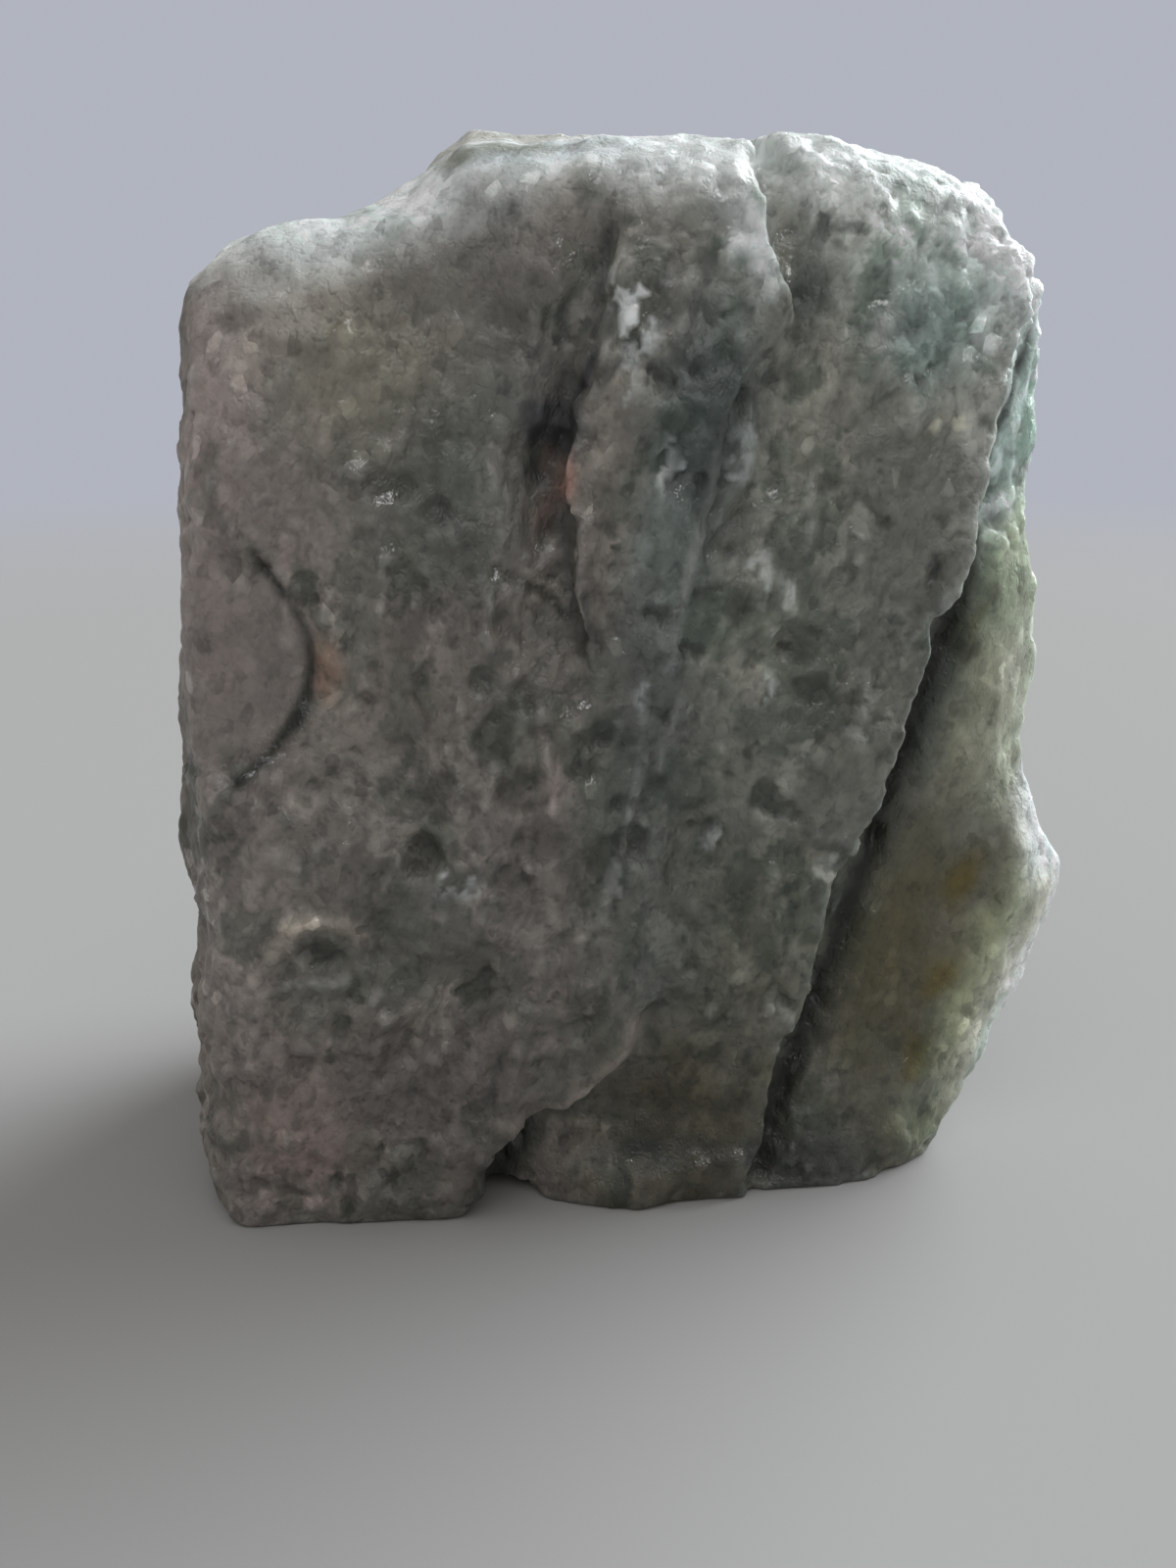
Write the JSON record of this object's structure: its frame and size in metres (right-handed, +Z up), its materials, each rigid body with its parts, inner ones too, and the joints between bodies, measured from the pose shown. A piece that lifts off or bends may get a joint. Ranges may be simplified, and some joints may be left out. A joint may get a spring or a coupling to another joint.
{
  "type": "raw aventurine stone",
  "caption": "Rough upright block of pale grey-green aventurine quartzite with slanted ledges, a crack and a sugary broken skin, standing on its flat worn base.",
  "frame": {"origin": "middle of the stone's footprint, on the surface that it stands on", "axes": "+Z up, along the stone's height; +Y from the broken front into the stone, its thinnest way; +X to the right, seen from the front"},
  "size_m": [0.0836, 0.0476, 0.0922],
  "materials": {
    "aventurine": "rough sugary fracture, slightly translucent, with small glints"
  },
  "bodies": {
    "root": {"aventurine": "aventurine"}
  },
  "joints": []
}
